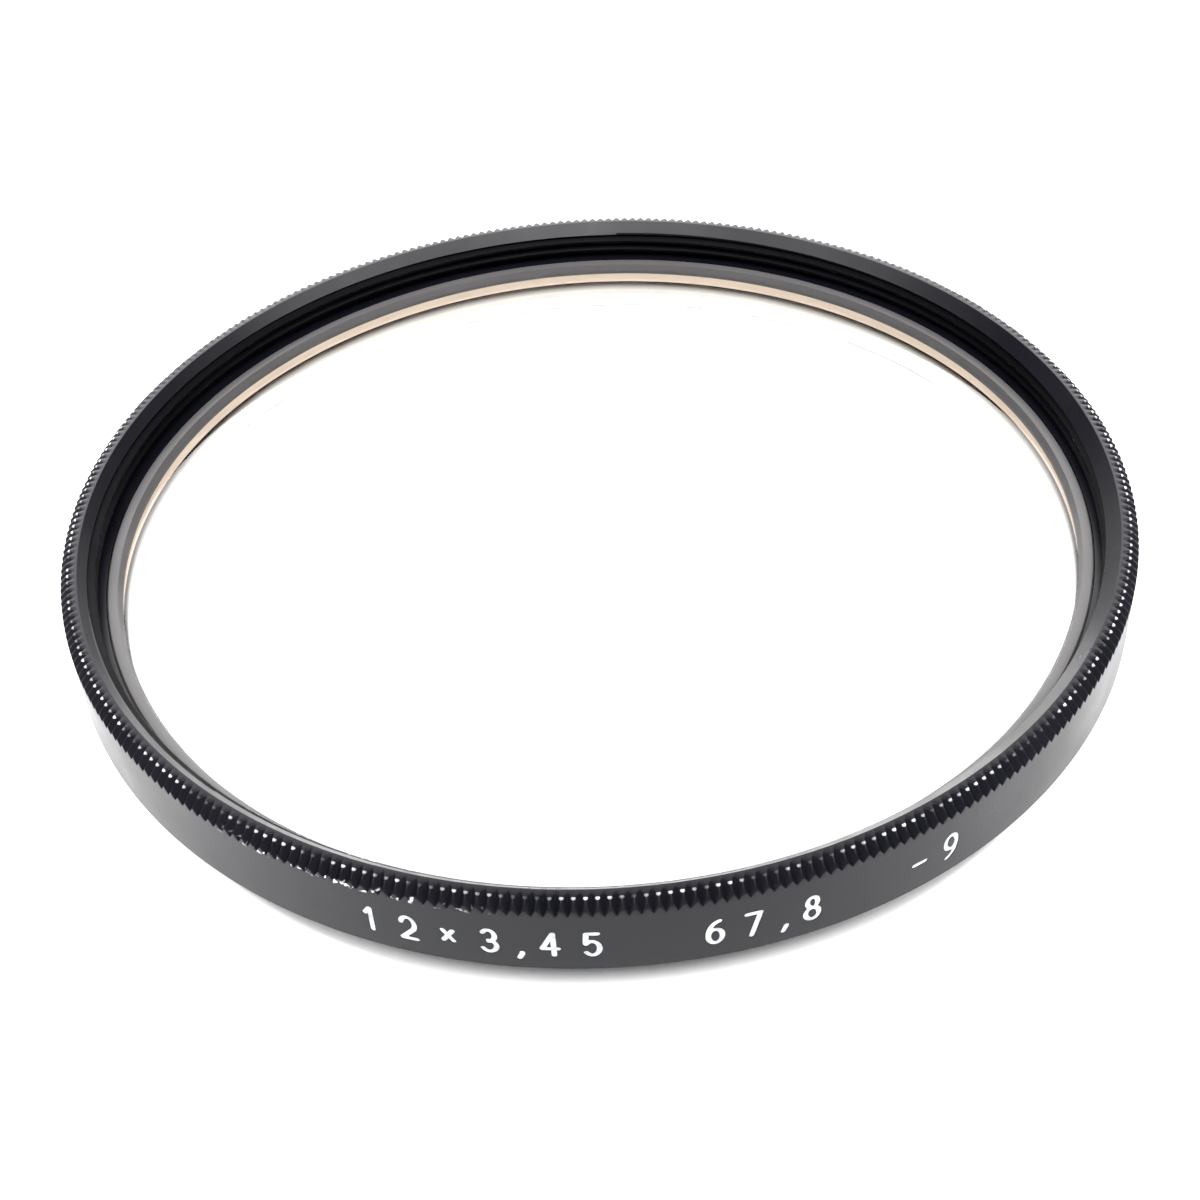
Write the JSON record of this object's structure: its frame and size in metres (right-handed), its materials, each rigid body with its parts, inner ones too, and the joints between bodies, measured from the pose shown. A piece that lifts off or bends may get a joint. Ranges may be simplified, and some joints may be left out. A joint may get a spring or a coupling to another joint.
{
  "type": "lens correction filter",
  "caption": "Round screw-in lens filter: a knurled black ring threaded front and rear, with a faintly tinted glass held on its seat by a threaded retaining ring.",
  "frame": {"origin": "centre of the rear end face of the ring, on the optical axis", "axes": "+Z along the optical axis towards the front of the filter; +Y and +X are free, with the engraved figures on the -Y side"},
  "size_m": [0.0704, 0.0704, 0.0076],
  "materials": {
    "ring_black": "black anodised, satin, with bare satin metal on the glass seat and the rear bore",
    "tinted_glass": "polished, coated, faint warm tint, ground edge",
    "retainer_black": "black anodised, satin"
  },
  "bodies": {
    "root": {"filter_ring": "ring_black", "filter_glass": "tinted_glass", "retaining_ring": "retainer_black"}
  },
  "joints": []
}
